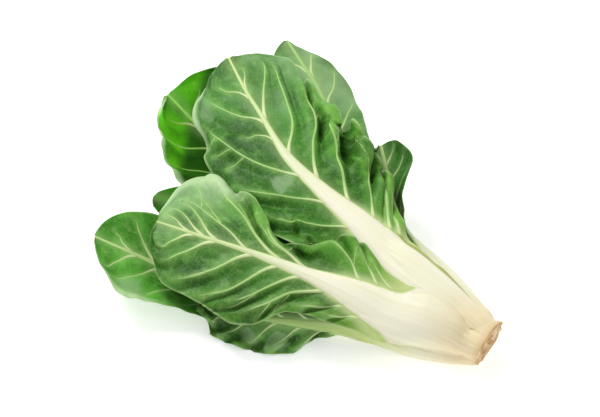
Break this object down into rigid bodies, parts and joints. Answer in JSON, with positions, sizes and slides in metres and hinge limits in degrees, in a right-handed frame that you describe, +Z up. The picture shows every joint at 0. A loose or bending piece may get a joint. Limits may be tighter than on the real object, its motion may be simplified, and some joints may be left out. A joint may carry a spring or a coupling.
{
  "type": "swiss chard",
  "caption": "A whole head of white-ribbed Swiss chard lying on its side, its ruffled green leaves fanning out from a short cut crown.",
  "frame": {"origin": "on the surface that the head lies on, below the middle of its bounding box", "axes": "+X along the head towards the cut crown, +Y across the fan of leaves, +Z up"},
  "size_m": [0.3812, 0.3112, 0.0798],
  "materials": {
    "crown": "matte, cut plant stump",
    "under_right_leaf": "waxy leaf, satin",
    "under_left_leaf": "waxy leaf, satin",
    "low_front_leaf": "waxy leaf, satin",
    "inner_left_leaf": "waxy leaf, satin",
    "heart_leaf_large": "waxy leaf, satin",
    "heart_leaf_middle": "waxy leaf, satin",
    "heart_leaf_small": "waxy leaf, satin",
    "inner_front_leaf": "waxy leaf, satin",
    "inner_right_leaf": "waxy leaf, satin",
    "back_leaf": "waxy leaf, satin",
    "upper_leaf": "waxy leaf, satin",
    "front_leaf": "waxy leaf, satin"
  },
  "bodies": {
    "root": {"crown": "crown", "under_right_leaf": "under_right_leaf", "under_left_leaf": "under_left_leaf", "low_front_leaf": "low_front_leaf", "inner_left_leaf": "inner_left_leaf", "heart_leaf_large": "heart_leaf_large", "heart_leaf_middle": "heart_leaf_middle", "heart_leaf_small": "heart_leaf_small", "inner_front_leaf": "inner_front_leaf", "inner_right_leaf": "inner_right_leaf", "back_leaf": "back_leaf", "upper_leaf": "upper_leaf", "front_leaf": "front_leaf"}
  },
  "joints": []
}
